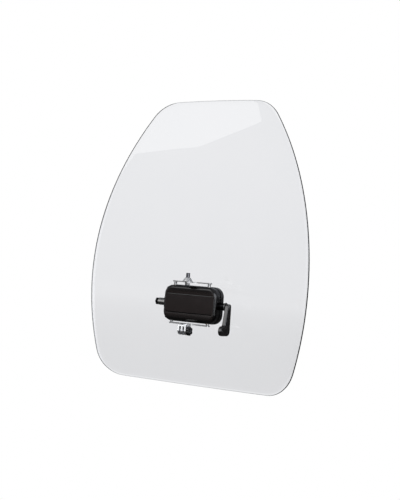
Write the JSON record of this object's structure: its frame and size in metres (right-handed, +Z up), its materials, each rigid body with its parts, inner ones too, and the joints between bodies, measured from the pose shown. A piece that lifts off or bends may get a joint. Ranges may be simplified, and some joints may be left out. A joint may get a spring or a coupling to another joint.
{
  "type": "motorcycle windshield screen",
  "caption": "Curved clear windscreen sheet on a black tilt block with clamp lever, stud bracket and a pronged handlebar knuckle.",
  "frame": {"origin": "centre of the three-prong knuckle's pivot bore, where the screen is held", "axes": "+X to the rider's right along the pivot, +Y forward into the wind, +Z up along the sheet"},
  "size_m": [0.416, 0.0692, 0.48],
  "materials": {
    "clear_sheet": "clear polycarbonate sheet, glossy",
    "black_casting": "satin black",
    "bush": "acetal, matt",
    "brass": "turned brass",
    "rubber": "matt black rubber",
    "nylon": "black nylon, satin",
    "steel": "stainless, satin",
    "housing": "glossy black moulding",
    "cover": "satin black moulding with glossy edges",
    "black_steel": "black oxide",
    "friction": "friction lining, matt",
    "spring_steel": "spring steel",
    "polished_steel": "polished stainless",
    "chrome": "bright plated",
    "lever_plastic": "black nylon, glossy",
    "polished_alloy": "polished alloy",
    "knob_plastic": "black nylon knob"
  },
  "bodies": {
    "mount": {"rear_housing": "housing", "front_cover": "cover", "cover_gasket": "rubber", "cover_inserts": "brass", "cover_screws": "black_steel", "tilt_shaft": "steel", "friction_discs": "friction", "spring_washers": "spring_steel", "adjuster_sleeve": "polished_steel", "thrust_sleeve": "polished_steel", "thrust_washer": "chrome", "upper_bracket": "polished_steel", "lower_bracket": "polished_steel", "bracket_standoffs": "polished_steel", "bracket_inserts": "brass", "bracket_screws": "steel", "accessory_stud": "polished_steel", "stud_collar": "polished_steel", "stud_nut": "steel", "mount_knuckle": "polished_alloy", "knuckle_screws": "steel", "captive_nut": "black_steel"},
    "screen": {"carrier": "black_casting", "carrier_bushes": "bush", "carrier_inserts": "brass", "windscreen": "clear_sheet", "screen_grommets": "rubber", "screen_washers": "nylon", "screen_screws": "steel"},
    "lever": {"clamp_lever": "lever_plastic", "lever_insert": "brass", "lever_screw": "chrome"},
    "nut": {"adjuster_nut": "black_steel"},
    "knob": {"thumb_screw_knob": "knob_plastic", "thumb_screw_stud": "steel"}
  },
  "joints": [
    {"name": "screen_tilt", "type": "hinge", "parent": "mount", "child": "screen", "pos_m": [0, 0.024, 0.0433], "axis": [1, 0, 0], "range_deg": [-20, 20]},
    {"name": "lever_turn", "type": "hinge", "parent": "mount", "child": "lever", "pos_m": [0, 0.024, 0.0433], "axis": [1, 0, 0], "range_deg": [-110, 0]},
    {"name": "nut_turn", "type": "hinge", "parent": "mount", "child": "nut", "pos_m": [0, 0.024, 0.0433], "axis": [1, 0, 0], "continuous": true},
    {"name": "knob_turn", "type": "hinge", "parent": "mount", "child": "knob", "pos_m": [0, 0, 0], "axis": [1, 0, 0], "continuous": true}
  ]
}
